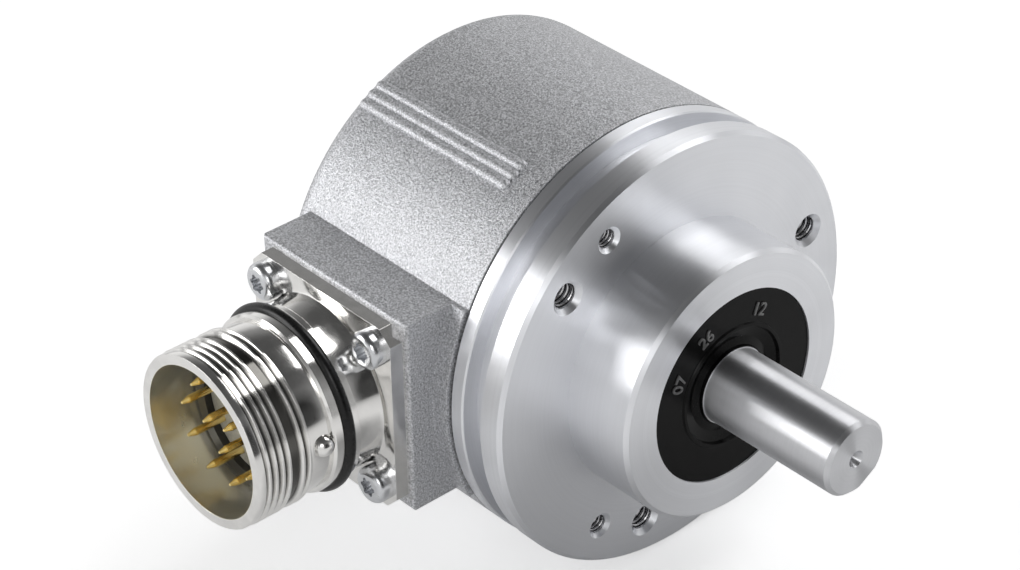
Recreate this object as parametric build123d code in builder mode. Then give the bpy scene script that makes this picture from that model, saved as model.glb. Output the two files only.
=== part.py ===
"""Optical rotary encoder with a 58 mm clamping flange, a solid shaft and a side connector.

Millimetres. +X is the shaft's axis, out of the flange. -Y is the connector's axis and +Z is up.
The origin is the centre of the flange's mounting face, where the pilot spigot starts.
"""

from build123d import *
from math import cos, radians, sin, sqrt, tan
import os

os.makedirs("parts", exist_ok=True)

# Flange, pilot spigot and fixing holes
flange_r = 29.0
face_chamfer = 0.5
front_rim = 3.3
groove_width = 3.3
groove_depth = 2.4
rear_rim = 1.9
spigot_r = 18.0
spigot_len = 10.0
fixing_margin = 5.0
m4_core_r = 1.65
m3_core_r = 1.25
m4_sink_r = 2.3
m3_sink_r = 1.75
m4_angle = 72.0
m3_angle = -28.0
fixing_depth = 7.5
register_wall = 3.0
register_len = 4.5
oring_r = 0.78
boss_wall = 2.2
boss_lip = 1.1

# Shaft
shaft_r = 5.0
seat_shoulder = 1.0
seal_land_r = 5.25
seal_land_reach = 0.05
bearing_seat_r = 6.0
shaft_reach = 20.0
shaft_chamfer = 0.5
flat_depth = 0.75
flat_len = 15.0
flat_angle = 150.0
centre_drill_r = 1.15
centre_drill_depth = 3.2
collar_r = 7.6
journal_r = 4.0
journal_step = 0.8
journal_setback = 0.3

# Ball bearings, 12 x 28 x 8
bearing_r = 14.0
bearing_width = 8.0
bearing_gap = 3.0
ball_r = 2.38
ball_count = 8
land_step = 1.7
ring_edge = 0.3
race_clearance = 0.05
cage_wall = 1.1
cage_half_width = 3.05
pocket_clearance = 0.12
shield_thickness = 0.35
shield_rebate = 0.45
shield_inset = 0.1
shield_gap = 0.3
web_thickness = 1.0
web_step = 3.2

# Shaft seal, 12 x 26 x 7, and its running clearance
seal_r = 13.0
seal_len = 7.0
seal_recess = 0.25
seal_skin = 1.0
seal_case_wall = 0.6
rim_setback = 0.2
seal_bead_r = 8.1
bead_rise = 0.2
bead_half = 0.2
lip_land = 0.4
dust_lip_depth = 0.3
garter_depth = 5.0
garter_rise = 2.9
garter_r = 0.55
running_clearance = 0.05

# Preload spring and retaining rings
spring_height = 0.9
spring_wall = 0.35
spring_band = 2.1
ring_play = 0.1
bore_ring_thickness = 1.2
bore_ring_depth = 0.6
shaft_ring_thickness = 1.0
shaft_ring_depth = 0.2
ring_band = 1.7
eyelet_r = 1.35
eyelet_hole_r = 0.6

# Housing
housing_wall = 4.0
housing_rear_x = -41.5
housing_edge = 2.5
rear_wall = 3.0
head_sink = 0.2
parting_gap = 0.3
pad_rise = 0.6
rib_rise = 0.45
rib_width = 1.3
rib_front_x = -12.8
rib_rear_x = -40.0
rib_angle = 29.3
rib_step = 3.0

# Connector block on the housing and the connector's own place
connector_x = -24.8
block_margin = 0.6
block_reach = 4.2
block_edge = 0.45
cavity_r = 10.8

# Connector shell, stations along its axis from the block's face to the mouth
plate_margin = 3.1
plate_thickness = 2.1
plate_corner = 1.8
base_wall = 1.3
base_len = 3.9
base_fillet = 0.7
rear_edge_depth = 0.95
rear_edge_len = 0.8
seat_wall = 0.75
seat_len = 1.7
collar_ring_depth = 0.95
collar_ring_len = 1.4
neck_wall = 1.0
neck_len = 2.9
thread_wall = 0.95
thread_height = 0.55
thread_pitch = 1.0
rear_crest_count = 2
relief_len = 1.0
front_crest_count = 4
nose_len = 1.1
nose_wall = 1.4
mouth_r = 10.0
mouth_depth = 16.0
mouth_step = 1.0
tail_gap = 0.4
tail_len = 4.4
nub_r = 1.45
plate_seal_r = 0.5
head_clearance = 0.3
screw_reach = 2.45

# Connector insert and contacts
insert_face_depth = 6.5
insert_step = 1.0
insert_wall = 1.1
contact_r = 0.5
contact_setback = 2.2
contact_tip_len = 1.1
contact_tip_taper = 17.0
outer_contact_count = 9
contact_margin = 1.3
outer_contact_angle = 9.0
inner_contact_count = 3
inner_contact_r = 2.4
inner_contact_angle = 42.0
contact_tail = 4.2
contact_stub = 1.5

# Screws
m3_r = 1.23
pan_head_r = 2.45
pan_head_height = 1.95
recess_r = 1.25
recess_depth = 1.1
cover_screw_grip = 6.0
connector_screw_grip = 5.5
connector_tap_depth = 7.0
clamp_screw_len = 6.5
clamp_tap_depth = 8.0
washer_thickness = 0.7
small_head_height = 1.6
board_screw_grip = 5.0
thread_clearance = 0.3

# Scanning unit
hub_r = 6.0
hub_flange_r = 7.5
hub_flange_len = 2.0
disc_gap = 1.0
disc_thickness = 1.0
disc_bore_r = 4.3
disc_front_x = -25.2
track_margin = 2.6
lamp_r = 1.5
lamp_angle = 24.0
lamp_gap = 1.5
lamp_setback = 0.2
lens_round = 0.9
bracket_gap = 0.6
bracket_wall = 1.7
bracket_half_angle = 13.0
bracket_inset = 1.9
reticle_width = 4.4
reticle_height = 5.4
chip_width = 6.0
chip_height = 7.0
scan_gap = 0.3
reticle_thickness = 0.4
chip_thickness = 0.9
board_thickness = 1.6
board_gap = 1.2
main_board_gap = 0.6
board_flat_gap = 1.3
board_window_r = 6.4
main_board_x = -34.4
pillar_r = 2.5
pillar_wall_gap = 0.7
standoff_r = 2.2
standoff_shift = 0.6
processor_place = (4.0, 2.0)
driver_places = [(-8.0, 6.5), (-8.0, -1.5), (3.0, -9.5)]
passive_place = (12.5, 0)
processor_size = 10.0
driver_width = 4.0
driver_height = 5.0
package_rise = 1.2
passive_width = 1.2
passive_height = 2.0
passive_rise = 0.8
passive_pitch = (2.6, 3.4)
header_height = 1.2
header_margin = 1.8
header_width = 4.4
header_half = 7.0
wire_r = 0.35
wire_bend = 0.6
wire_inset = 0.2

# Clearances
press_gap = 0.01
seat_gap = 0.02
soft_gap = 0.03
notch_gap = 0.4
board_hole_gap = 0.1

# Radii and stations about the shaft's axis that follow from the sizes above
flange_thickness = front_rim + groove_width + rear_rim
fixing_circle_r = flange_r - fixing_margin
register_r = flange_r - register_wall
housing_inner_r = flange_r - housing_wall
board_r = housing_inner_r - board_gap
pillar_radius = housing_inner_r - pillar_wall_gap - pillar_r
boss_r = bearing_r + boss_wall
web_r = bearing_r - web_step
ball_pitch_r = (bearing_seat_r + bearing_r) / 2
standoff_radius = (boss_r + housing_inner_r) / 2 - standoff_shift
disc_r = standoff_radius - standoff_r - disc_gap
track_r = disc_r - track_margin
header_low_y = header_margin - housing_inner_r
header_top_y = header_low_y + header_width
board_flat_y = header_top_y + board_flat_gap
seal_front_x = spigot_len - seal_recess
seal_rear_x = seal_front_x - seal_len
lip_r = bearing_seat_r + running_clearance
case_out_r = seal_r - seat_gap - seal_skin
dust_lip_r = seal_land_r + running_clearance
land_front_x = seal_front_x + seal_land_reach
dust_lip_x = seal_front_x - dust_lip_depth
garter_x = seal_front_x - garter_depth
garter_ring_r = lip_r + garter_rise
front_bearing_x = seal_rear_x - web_thickness - bearing_width / 2
rear_bearing_x = front_bearing_x - bearing_width - bearing_gap
bearing_end_x = rear_bearing_x - bearing_width / 2
bore_ring_x = bearing_end_x - spring_height
boss_end_x = bore_ring_x - bore_ring_thickness - boss_lip
shaft_end_x = spigot_len + shaft_reach
seat_front_x = spigot_len - seat_shoulder
collar_front_x = front_bearing_x - bearing_width / 2
journal_x = bearing_end_x - shaft_ring_thickness - journal_step
journal_end_x = disc_front_x - disc_thickness + journal_setback
register_end_x = -flange_thickness - register_len
oring_x = -flange_thickness - register_len / 2
housing_front_x = -flange_thickness - parting_gap
rear_wall_x = housing_rear_x + rear_wall
head_seat_x = housing_rear_x + rear_wall / 2
head_top_x = housing_rear_x + head_sink
disc_rear_x = disc_front_x - disc_thickness
washer_x = disc_rear_x - washer_thickness
lamp_face_x = disc_front_x + lamp_gap
lamp_back_x = boss_end_x - bracket_gap
lamp_y = track_r * cos(radians(lamp_angle))
lamp_z = track_r * sin(radians(lamp_angle))
reticle_x = disc_rear_x - scan_gap
chip_x = reticle_x - reticle_thickness
sensor_board_x = chip_x - chip_thickness
main_board_rear_x = main_board_x - board_thickness

# Radii and stations about the connector's axis
base_r = mouth_r + base_wall
seat_r = mouth_r + seat_wall
rear_edge_r = seat_r + rear_edge_depth
collar_ring_r = seat_r + collar_ring_depth
neck_r = mouth_r + neck_wall
thread_root_r = mouth_r + thread_wall
thread_r = thread_root_r + thread_height
nose_r = mouth_r + nose_wall
tail_r = cavity_r - tail_gap
tail_bore_r = mouth_r - mouth_step
insert_core_r = tail_bore_r - insert_wall
outer_contact_r = insert_core_r - contact_margin
block_front_y = -flange_r - block_reach
plate_front_y = block_front_y - plate_thickness
base_end_y = plate_front_y - base_len
rear_edge_y = base_end_y - rear_edge_len
seat_end_y = rear_edge_y - seat_len
collar_end_y = seat_end_y - collar_ring_len
neck_end_y = collar_end_y - neck_len
rear_thread_y = neck_end_y - rear_crest_count * thread_pitch
relief_end_y = rear_thread_y - relief_len
front_thread_y = relief_end_y - front_crest_count * thread_pitch
mouth_y = front_thread_y - nose_len
insert_y = mouth_y + insert_face_depth
core_y = insert_y + insert_step
mouth_floor_y = mouth_y + mouth_depth
tail_y = block_front_y + tail_len
plate_seal_ring_r = cavity_r + 1.5 * plate_seal_r
screw_pitch = sqrt(2) * (plate_seal_ring_r + screw_reach)
plate_half = screw_pitch / 2 + plate_margin
block_half = plate_half + block_margin
contact_tip_y = mouth_y + contact_setback
contact_end_y = tail_y - contact_stub + contact_tail

shaft_axis = Axis.X
connector_axis = Axis((connector_x, 0, 0), (0, 1, 0))
pillar_angles = [90, 210, 330]
standoff_angles = [45, 135, 225, 315]


def outline(points):
    """Closed flat outline in the XY plane through the points, in order."""
    with BuildSketch(Plane.XY) as flat:
        with BuildLine():
            Polyline(*points, close=True)
        make_face()
    return flat.sketch


def tube_outline(x_low, x_high, r_in, r_out):
    """Half section of a plain ring about the shaft's axis."""
    return outline([(x_low, r_in), (x_high, r_in), (x_high, r_out), (x_low, r_out)])


def bevel_ring_outline(x_low, x_high, r_in, r_out, edge):
    """Half section of a ring about the shaft's axis with all four corners bevelled."""
    return outline([
        (x_low + edge, r_in), (x_high - edge, r_in), (x_high, r_in + edge), (x_high, r_out - edge),
        (x_high - edge, r_out), (x_low + edge, r_out), (x_low, r_out - edge), (x_low, r_in + edge),
    ])


def across(x):
    """Plane across the shaft's axis at x: local x runs along Y, local y along Z."""
    return Plane.YZ.offset(x)


def facing_connector(y):
    """Plane across the connector's axis, seen from the mouth, centred on that axis."""
    return Plane(origin=(connector_x, y, 0), x_dir=(1, 0, 0), z_dir=(0, -1, 0))


def around(radius, angles):
    """Points at a radius about the shaft's axis, angles from +Z towards +Y."""
    return [(radius * sin(radians(a)), radius * cos(radians(a))) for a in angles]


def about_connector(points):
    """Outline of (radius, y) points placed beside the connector's axis."""
    return outline([(connector_x + r, y) for r, y in points])


def contact_places():
    """Places of the contacts in the connector's face, outer circle first."""
    outer = [
        (outer_contact_r * cos(radians(a)), outer_contact_r * sin(radians(a)))
        for a in (outer_contact_angle + 360 / outer_contact_count * k for k in range(outer_contact_count))
    ]
    inner = [
        (inner_contact_r * cos(radians(a)), inner_contact_r * sin(radians(a)))
        for a in (inner_contact_angle + 360 / inner_contact_count * k for k in range(inner_contact_count))
    ]
    return outer + inner


# The turned aluminium flange: grooved rim, pilot spigot, bearing boss and tapped holes
with BuildPart() as flange:
    groove_start_x = -front_rim
    groove_end_x = -front_rim - groove_width
    groove_r = flange_r - groove_depth
    revolve(
        outline([
            (spigot_len, seal_r), (spigot_len, spigot_r - face_chamfer),
            (spigot_len - face_chamfer, spigot_r), (0, spigot_r),
            (0, flange_r - face_chamfer), (-face_chamfer, flange_r),
            (groove_start_x, flange_r), (groove_start_x, groove_r),
            (groove_end_x, groove_r), (groove_end_x, flange_r - 0.2),
            (groove_end_x - 0.2, flange_r), (-flange_thickness, flange_r),
            (-flange_thickness, register_r - seat_gap), (register_end_x, register_r - seat_gap),
            (register_end_x, boss_r), (boss_end_x, boss_r), (boss_end_x, bearing_r),
            (bore_ring_x - bore_ring_thickness, bearing_r),
            (bore_ring_x - bore_ring_thickness, bearing_r + bore_ring_depth),
            (bore_ring_x, bearing_r + bore_ring_depth), (bore_ring_x, bearing_r),
            (seal_rear_x - web_thickness, bearing_r), (seal_rear_x - web_thickness, web_r),
            (seal_rear_x, web_r), (seal_rear_x, seal_r),
        ]),
        axis=shaft_axis,
    )
    # Groove for the housing's O-ring
    revolve(
        tube_outline(
            oring_x - 1.3 * oring_r, oring_x + 1.3 * oring_r,
            register_r - 2 * (oring_r + soft_gap), register_r,
        ),
        axis=shaft_axis,
        mode=Mode.SUBTRACT,
    )
    # Three larger and three smaller tapped holes share one pitch circle
    for core_r, sink_r, start in ((m4_core_r, m4_sink_r, m4_angle), (m3_core_r, m3_sink_r, m3_angle)):
        with Locations(*[(0, y, z) for y, z in around(fixing_circle_r, [start, start + 120, start + 240])]):
            with Locations(Rotation(0, 90, 0)):
                CounterSinkHole(core_r, sink_r, depth=fixing_depth, counter_sink_angle=90)
    # Tapped holes behind for the pillars and standoffs
    with BuildSketch(across(register_end_x)):
        with Locations(*around(pillar_radius, pillar_angles), *around(standoff_radius, standoff_angles)):
            Circle(m3_core_r)
    extrude(amount=register_len - oring_r, mode=Mode.SUBTRACT)
flange.part.label = "flange"
export_step(flange.part, "parts/flange.step")

# The ground steel shaft: drive end with flat and centre hole, bearing collar and rear journal
with BuildPart() as shaft:
    revolve(
        outline([
            (shaft_end_x, 0), (shaft_end_x, shaft_r - shaft_chamfer),
            (shaft_end_x - shaft_chamfer, shaft_r), (land_front_x, shaft_r),
            (land_front_x, seal_land_r), (seat_front_x, seal_land_r),
            (seat_front_x, bearing_seat_r), (collar_front_x, bearing_seat_r),
            (collar_front_x, collar_r), (collar_front_x - bearing_gap, collar_r),
            (collar_front_x - bearing_gap, bearing_seat_r), (bearing_end_x, bearing_seat_r),
            (bearing_end_x, bearing_seat_r - shaft_ring_depth),
            (bearing_end_x - shaft_ring_thickness, bearing_seat_r - shaft_ring_depth),
            (bearing_end_x - shaft_ring_thickness, bearing_seat_r), (journal_x, bearing_seat_r),
            (journal_x, journal_r), (journal_end_x, journal_r), (journal_end_x, 0),
        ]),
        axis=shaft_axis,
    )
    # Driving flat along the outer end
    flat_plane = Plane(
        origin=(shaft_end_x - flat_len / 2, 0, 0),
        x_dir=(1, 0, 0),
        z_dir=(0, sin(radians(flat_angle)), cos(radians(flat_angle))),
    ).offset(shaft_r - flat_depth)
    with BuildSketch(flat_plane):
        Rectangle(flat_len, 2 * shaft_r)
    extrude(amount=2 * flat_depth, mode=Mode.SUBTRACT)
    # Centre hole: a 60 degree seat with a pilot drill
    centre_pilot_r = centre_drill_r * 0.45
    seat_depth = (centre_drill_r - centre_pilot_r) / tan(radians(30))
    revolve(
        outline([
            (shaft_end_x, 0), (shaft_end_x, centre_drill_r), (shaft_end_x - seat_depth, centre_pilot_r),
            (shaft_end_x - centre_drill_depth, centre_pilot_r), (shaft_end_x - centre_drill_depth, 0),
        ]),
        axis=shaft_axis,
        mode=Mode.SUBTRACT,
    )
    # Tapped hole for the disc's clamp screw
    with BuildSketch(across(journal_end_x)):
        Circle(m3_core_r)
    extrude(amount=clamp_tap_depth, mode=Mode.SUBTRACT)
shaft.part.label = "shaft"
export_step(shaft.part, "parts/shaft.step")

# Two deep-groove ball bearings, each of rings, balls, cage and shields
for place, bearing_x in (("front", front_bearing_x), ("rear", rear_bearing_x)):
    x_low = bearing_x - bearing_width / 2
    x_high = bearing_x + bearing_width / 2
    inner_land_r = ball_pitch_r - land_step
    outer_land_r = ball_pitch_r + land_step
    race_r = ball_r + race_clearance
    rebate_r = outer_land_r + shield_rebate

    with BuildPart() as outer_ring:
        revolve(
            bevel_ring_outline(x_low, x_high, outer_land_r, bearing_r - press_gap, ring_edge),
            axis=shaft_axis,
        )
        for x_rebate in (x_low, x_high - shield_thickness - shield_inset):
            revolve(
                tube_outline(x_rebate, x_rebate + shield_thickness + shield_inset, ball_pitch_r, rebate_r),
                axis=shaft_axis,
                mode=Mode.SUBTRACT,
            )
        with Locations(across(bearing_x)):
            Torus(ball_pitch_r, race_r, mode=Mode.SUBTRACT)
    outer_ring.part.label = f"{place}_bearing_outer_ring"
    export_step(outer_ring.part, f"parts/{place}_bearing_outer_ring.step")

    with BuildPart() as inner_ring:
        revolve(
            bevel_ring_outline(x_low, x_high, bearing_seat_r + press_gap, inner_land_r, ring_edge),
            axis=shaft_axis,
        )
        with Locations(across(bearing_x)):
            Torus(ball_pitch_r, race_r, mode=Mode.SUBTRACT)
    inner_ring.part.label = f"{place}_bearing_inner_ring"
    export_step(inner_ring.part, f"parts/{place}_bearing_inner_ring.step")

    with BuildPart() as balls:
        with Locations(across(bearing_x)):
            with PolarLocations(ball_pitch_r, ball_count):
                Sphere(ball_r)
    balls.part.label = f"{place}_bearing_balls"
    export_step(balls.part, f"parts/{place}_bearing_balls.step")

    with BuildPart() as cage:
        revolve(
            tube_outline(
                bearing_x - cage_half_width, bearing_x + cage_half_width,
                ball_pitch_r - cage_wall / 2, ball_pitch_r + cage_wall / 2,
            ),
            axis=shaft_axis,
        )
        with Locations(across(bearing_x)):
            with PolarLocations(ball_pitch_r, ball_count):
                Cylinder(ball_r + pocket_clearance, 3 * cage_wall, rotation=(0, 90, 0), mode=Mode.SUBTRACT)
    cage.part.label = f"{place}_bearing_cage"
    export_step(cage.part, f"parts/{place}_bearing_cage.step")

    with BuildPart() as shields:
        for x_shield in (x_low + shield_inset, x_high - shield_thickness - shield_inset):
            revolve(
                tube_outline(
                    x_shield, x_shield + shield_thickness,
                    inner_land_r + shield_gap, rebate_r - seat_gap,
                ),
                axis=shaft_axis,
            )
    shields.part.label = f"{place}_bearing_shields"
    export_step(shields.part, f"parts/{place}_bearing_shields.step")

# Radial shaft seal: rubber body with bead, dust lip and sealing lip
with BuildPart() as shaft_seal:
    revolve(
        outline([
            (seal_front_x, seal_r - seat_gap), (seal_front_x, seal_bead_r + 0.35),
            (seal_front_x + bead_rise, seal_bead_r + bead_half),
            (seal_front_x + bead_rise, seal_bead_r - bead_half),
            (seal_front_x - 0.25, seal_bead_r - 2 * bead_half), (dust_lip_x - 0.3, lip_r + 0.3),
            (dust_lip_x, dust_lip_r), (dust_lip_x - lip_land, dust_lip_r),
            (dust_lip_x - lip_land, lip_r + 0.2), (dust_lip_x - 1.3, lip_r + 0.9),
            (garter_x + 1.8, lip_r + 0.9), (garter_x + 0.1, lip_r), (garter_x + 0.1 - lip_land, lip_r),
            (garter_x - 1.2, lip_r + 1.5), (garter_x - 1.2, garter_ring_r - 0.3),
            (garter_x - 0.9, garter_ring_r), (garter_x + 2.0, garter_ring_r - 0.3),
            (garter_x + 2.4, garter_ring_r), (seal_front_x - seal_skin, garter_ring_r),
            (seal_front_x - seal_skin, case_out_r), (seal_rear_x, case_out_r),
            (seal_rear_x, seal_r - seat_gap),
        ]),
        axis=shaft_axis,
    )
    # Groove that holds the garter spring
    with Locations(across(garter_x)):
        Torus(garter_ring_r, garter_r + soft_gap, mode=Mode.SUBTRACT)
shaft_seal.part.label = "shaft_seal"
export_step(shaft_seal.part, "parts/shaft_seal.step")

with BuildPart() as seal_case:
    case_front_x = seal_front_x - seal_skin - soft_gap
    case_r = case_out_r - soft_gap
    case_hole_r = garter_ring_r + garter_r + 0.15
    revolve(
        outline([
            (case_front_x, case_hole_r), (case_front_x, case_r), (seal_rear_x + rim_setback, case_r),
            (seal_rear_x + rim_setback, case_r - seal_case_wall),
            (case_front_x - seal_case_wall, case_r - seal_case_wall),
            (case_front_x - seal_case_wall, case_hole_r),
        ]),
        axis=shaft_axis,
    )
seal_case.part.label = "seal_case"
export_step(seal_case.part, "parts/seal_case.step")

with BuildPart() as garter_spring:
    with Locations(across(garter_x)):
        Torus(garter_ring_r, garter_r)
garter_spring.part.label = "garter_spring"
export_step(garter_spring.part, "parts/garter_spring.step")

# Conical preload spring between the rear bearing and its retaining ring
with BuildPart() as preload_spring:
    spring_out_r = bearing_r - ring_edge
    spring_in_r = spring_out_r - spring_band
    revolve(
        outline([
            (bearing_end_x, spring_out_r), (bearing_end_x - spring_wall, spring_out_r),
            (bore_ring_x, spring_in_r), (bore_ring_x + spring_wall, spring_in_r),
        ]),
        axis=shaft_axis,
    )
preload_spring.part.label = "preload_spring"
export_step(preload_spring.part, "parts/preload_spring.step")

# Retaining rings: open bands with two eyelets
with BuildPart() as bore_retaining_ring:
    bore_ring_r = bearing_r + bore_ring_depth - ring_play
    eyelet_z = bore_ring_r - 1.5 * eyelet_r
    with BuildSketch(across(bore_ring_x - bore_ring_thickness + ring_play)):
        Circle(bore_ring_r)
        Circle(bore_ring_r - ring_band, mode=Mode.SUBTRACT)
        with Locations((0, bore_ring_r)):
            Rectangle(ring_band * 2.6, 3 * ring_band, mode=Mode.SUBTRACT)
        with Locations((ring_band * 1.75, eyelet_z), (-ring_band * 1.75, eyelet_z)):
            Circle(eyelet_r)
            Circle(eyelet_hole_r, mode=Mode.SUBTRACT)
    extrude(amount=bore_ring_thickness - ring_play)
bore_retaining_ring.part.label = "bore_retaining_ring"
export_step(bore_retaining_ring.part, "parts/bore_retaining_ring.step")

with BuildPart() as shaft_retaining_ring:
    shaft_ring_in_r = bearing_seat_r - shaft_ring_depth + seat_gap
    with BuildSketch(across(bearing_end_x - shaft_ring_thickness + ring_play / 2)):
        Circle(shaft_ring_in_r + ring_band)
        Circle(shaft_ring_in_r, mode=Mode.SUBTRACT)
        with Locations((0, -shaft_ring_in_r - ring_band / 2)):
            Rectangle(ring_band, 2 * ring_band, mode=Mode.SUBTRACT)
    extrude(amount=shaft_ring_thickness - ring_play / 2)
shaft_retaining_ring.part.label = "shaft_retaining_ring"
export_step(shaft_retaining_ring.part, "parts/shaft_retaining_ring.step")

# O-ring between the flange's register and the housing
with BuildPart() as housing_oring:
    with Locations(across(oring_x)):
        Torus(register_r - oring_r - soft_gap, oring_r)
housing_oring.part.label = "housing_oring"
export_step(housing_oring.part, "parts/housing_oring.step")

# Die-cast housing: round cup with the connector block, raised pad and three ribs
with BuildPart() as housing:
    with BuildSketch(across(housing_rear_x)):
        Circle(flange_r)
    extrude(amount=housing_front_x - housing_rear_x)
    fillet(housing.faces().sort_by(Axis.X)[0].edges(), housing_edge)
    # Raised pad that joins the block to the front edge
    with BuildSketch(across(connector_x)):
        Circle(flange_r + pad_rise)
        with Locations((flange_r, 0)):
            Rectangle(2 * flange_r + 2 * (flange_r - block_half), 4 * flange_r, mode=Mode.SUBTRACT)
        with Locations((0, flange_r + block_half), (0, -flange_r - block_half)):
            Rectangle(4 * flange_r, 2 * flange_r, mode=Mode.SUBTRACT)
    extrude(amount=housing_front_x - connector_x)
    # Connector block
    with BuildSketch(facing_connector(0)):
        Rectangle(2 * block_half, 2 * block_half)
    extrude(amount=-block_front_y)
    block_face = housing.faces().sort_by(Axis.Y)[0]
    fillet(block_face.edges(), block_edge)
    # Three ribs along the upper side
    rib_len = rib_front_x - rib_rear_x
    for step in (-1, 0, 1):
        a = radians(rib_angle + step * rib_step)
        rib_plane = Plane(
            origin=((rib_front_x + rib_rear_x) / 2, 0, 0), x_dir=(1, 0, 0), z_dir=(0, -sin(a), cos(a))
        ).offset(flange_r - rib_rise)
        with BuildSketch(rib_plane):
            SlotOverall(rib_len, rib_width)
        extrude(amount=2 * rib_rise, taper=18)
    # Inside: register bore, main bore and the connector's cavity
    revolve(
        outline([
            (housing_front_x, 0), (housing_front_x, register_r), (register_end_x, register_r),
            (register_end_x, housing_inner_r), (rear_wall_x, housing_inner_r), (rear_wall_x, 0),
        ]),
        axis=shaft_axis,
        mode=Mode.SUBTRACT,
    )
    with BuildSketch(facing_connector(0)):
        Circle(cavity_r)
    extrude(amount=-block_front_y, mode=Mode.SUBTRACT)
    # Tapped holes for the connector's screws
    with BuildSketch(facing_connector(block_front_y)):
        with GridLocations(screw_pitch, screw_pitch, 2, 2):
            Circle(m3_core_r)
    extrude(amount=-connector_tap_depth, mode=Mode.SUBTRACT)
    # Counterbored holes for the cover screws
    with BuildSketch(across(housing_rear_x)):
        with Locations(*around(pillar_radius, pillar_angles)):
            Circle(m3_r + thread_clearance)
    extrude(amount=rear_wall, mode=Mode.SUBTRACT)
    with BuildSketch(across(housing_rear_x)):
        with Locations(*around(pillar_radius, pillar_angles)):
            Circle(pan_head_r + head_clearance)
    extrude(amount=rear_wall / 2, mode=Mode.SUBTRACT)
housing.part.label = "housing"
export_step(housing.part, "parts/housing.step")

# Cover screws, with sunk socket heads, in the pillars behind the rear wall
with BuildPart() as cover_screws:
    with BuildSketch(across(head_seat_x)):
        with Locations(*around(pillar_radius, pillar_angles)):
            Circle(pan_head_r)
    extrude(amount=head_top_x - head_seat_x)
    with BuildSketch(across(head_top_x)):
        with Locations(*around(pillar_radius, pillar_angles)):
            RegularPolygon(recess_r, 6)
    extrude(amount=recess_depth * 0.7, mode=Mode.SUBTRACT)
    with BuildSketch(across(head_seat_x)):
        with Locations(*around(pillar_radius, pillar_angles)):
            Circle(m3_r)
    extrude(amount=rear_wall / 2 + cover_screw_grip)
cover_screws.part.label = "cover_screws"
export_step(cover_screws.part, "parts/cover_screws.step")

with BuildPart() as cover_pillars:
    with BuildSketch(across(rear_wall_x)):
        with Locations(*around(pillar_radius, pillar_angles)):
            Circle(pillar_r)
            Circle(m3_core_r, mode=Mode.SUBTRACT)
    extrude(amount=register_end_x - rear_wall_x)
cover_pillars.part.label = "cover_pillars"
export_step(cover_pillars.part, "parts/cover_pillars.step")

# Connector shell: square plate, round body with O-ring seat, collar, neck and ridged thread
with BuildPart() as connector_shell:
    shell_points = [
        (mouth_r, mouth_y), (nose_r - 0.1, mouth_y), (nose_r, mouth_y + 0.2),
        (nose_r, front_thread_y - 0.15),
    ]
    for start_y, crests in ((front_thread_y, front_crest_count), (rear_thread_y, rear_crest_count)):
        for k in range(crests):
            ridge_y = start_y + (k + 0.5) * thread_pitch
            shell_points += [
                (thread_root_r, ridge_y - 0.45 * thread_pitch), (thread_r, ridge_y - 0.12 * thread_pitch),
                (thread_r, ridge_y + 0.12 * thread_pitch), (thread_root_r, ridge_y + 0.45 * thread_pitch),
            ]
    shell_points += [
        (neck_r, neck_end_y + 0.05), (neck_r, collar_end_y), (collar_ring_r - 0.3, collar_end_y),
        (collar_ring_r, collar_end_y + 0.3), (collar_ring_r, seat_end_y), (seat_r, seat_end_y),
        (seat_r, rear_edge_y), (rear_edge_r, rear_edge_y), (rear_edge_r, base_end_y),
        (base_r, base_end_y), (base_r, plate_front_y - base_fillet),
        (base_r + 0.3 * base_fillet, plate_front_y - 0.3 * base_fillet),
        (base_r + base_fillet, plate_front_y), (base_r + base_fillet, plate_front_y + 0.5),
        (tail_r, block_front_y - 0.5), (tail_r, tail_y), (tail_bore_r, tail_y),
        (tail_bore_r, mouth_floor_y), (mouth_r, mouth_floor_y),
    ]
    revolve(about_connector(shell_points), axis=connector_axis)
    with BuildSketch(facing_connector(block_front_y)) as plate:
        Rectangle(2 * plate_half, 2 * plate_half)
        chamfer(plate.vertices(), plate_corner)
        Circle(tail_bore_r, mode=Mode.SUBTRACT)
        with GridLocations(screw_pitch, screw_pitch, 2, 2):
            Circle(m3_r + thread_clearance, mode=Mode.SUBTRACT)
    extrude(amount=plate_thickness)
    # Groove behind the plate for its seal ring
    with BuildSketch(facing_connector(block_front_y)):
        Circle(plate_seal_ring_r + 1.3 * plate_seal_r)
        Circle(plate_seal_ring_r - 1.3 * plate_seal_r, mode=Mode.SUBTRACT)
    extrude(amount=2 * (plate_seal_r + soft_gap), mode=Mode.SUBTRACT)
    # Hollows beside the round base that clear the screw heads
    with BuildSketch(facing_connector(plate_front_y)):
        with GridLocations(screw_pitch, screw_pitch, 2, 2):
            Circle(pan_head_r + head_clearance)
    extrude(amount=base_len, mode=Mode.SUBTRACT)
    # Locating nub on the neck
    with Locations((connector_x + neck_r - 0.25, collar_end_y - nub_r + 0.35, 0.5)):
        Sphere(nub_r)
    # The nub stays outside the shell's bore
    with BuildSketch(facing_connector(mouth_floor_y)):
        Circle(mouth_r)
    extrude(amount=mouth_depth, mode=Mode.SUBTRACT)
connector_shell.part.label = "connector_shell"
export_step(connector_shell.part, "parts/connector_shell.step")

with BuildPart() as connector_oring:
    coupling_ring_r = (seat_len - 0.1) / 2
    with Locations(facing_connector((rear_edge_y + seat_end_y) / 2)):
        Torus(seat_r + coupling_ring_r + soft_gap, coupling_ring_r)
connector_oring.part.label = "connector_oring"
export_step(connector_oring.part, "parts/connector_oring.step")

with BuildPart() as plate_seal:
    with Locations(facing_connector(block_front_y - plate_seal_r - soft_gap)):
        Torus(plate_seal_ring_r, plate_seal_r)
plate_seal.part.label = "plate_seal"
export_step(plate_seal.part, "parts/plate_seal.step")

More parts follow.
